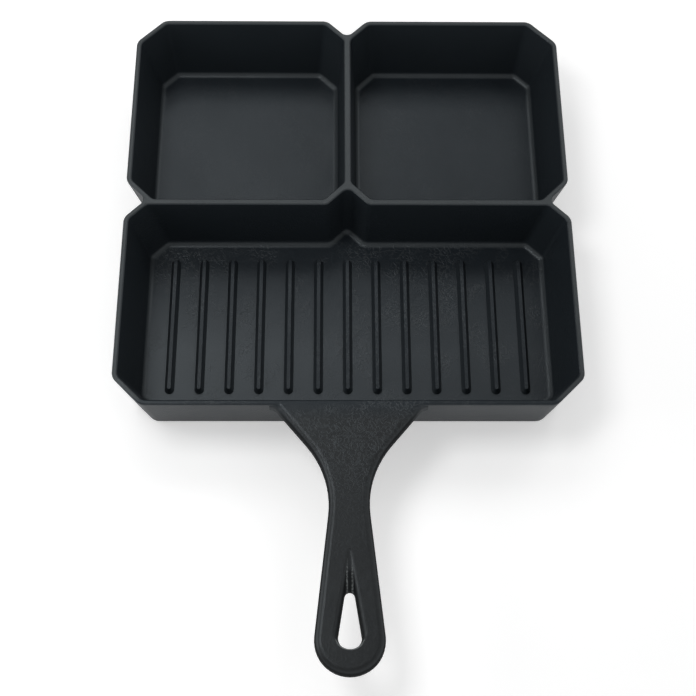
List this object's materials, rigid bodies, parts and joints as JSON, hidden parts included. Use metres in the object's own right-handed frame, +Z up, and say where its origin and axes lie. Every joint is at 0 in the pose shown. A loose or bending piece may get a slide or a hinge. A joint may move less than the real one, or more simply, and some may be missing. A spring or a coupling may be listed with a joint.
{
  "type": "divided frying pan",
  "caption": "Square cast frying pan with one wide ribbed well in front, two plain wells behind it and a flat handle with a teardrop hanging hole.",
  "frame": {"origin": "on the flat underside, under the middle of the square body", "axes": "+Z up to the rim, +Y to the back of the body, and the handle runs out along -Y"},
  "size_m": [0.2796, 0.4361, 0.0477],
  "materials": {
    "seasoned_iron": "seasoned as-cast iron, satin with a fine pebbled grain"
  },
  "bodies": {
    "root": {"pan": "seasoned_iron"}
  },
  "joints": []
}
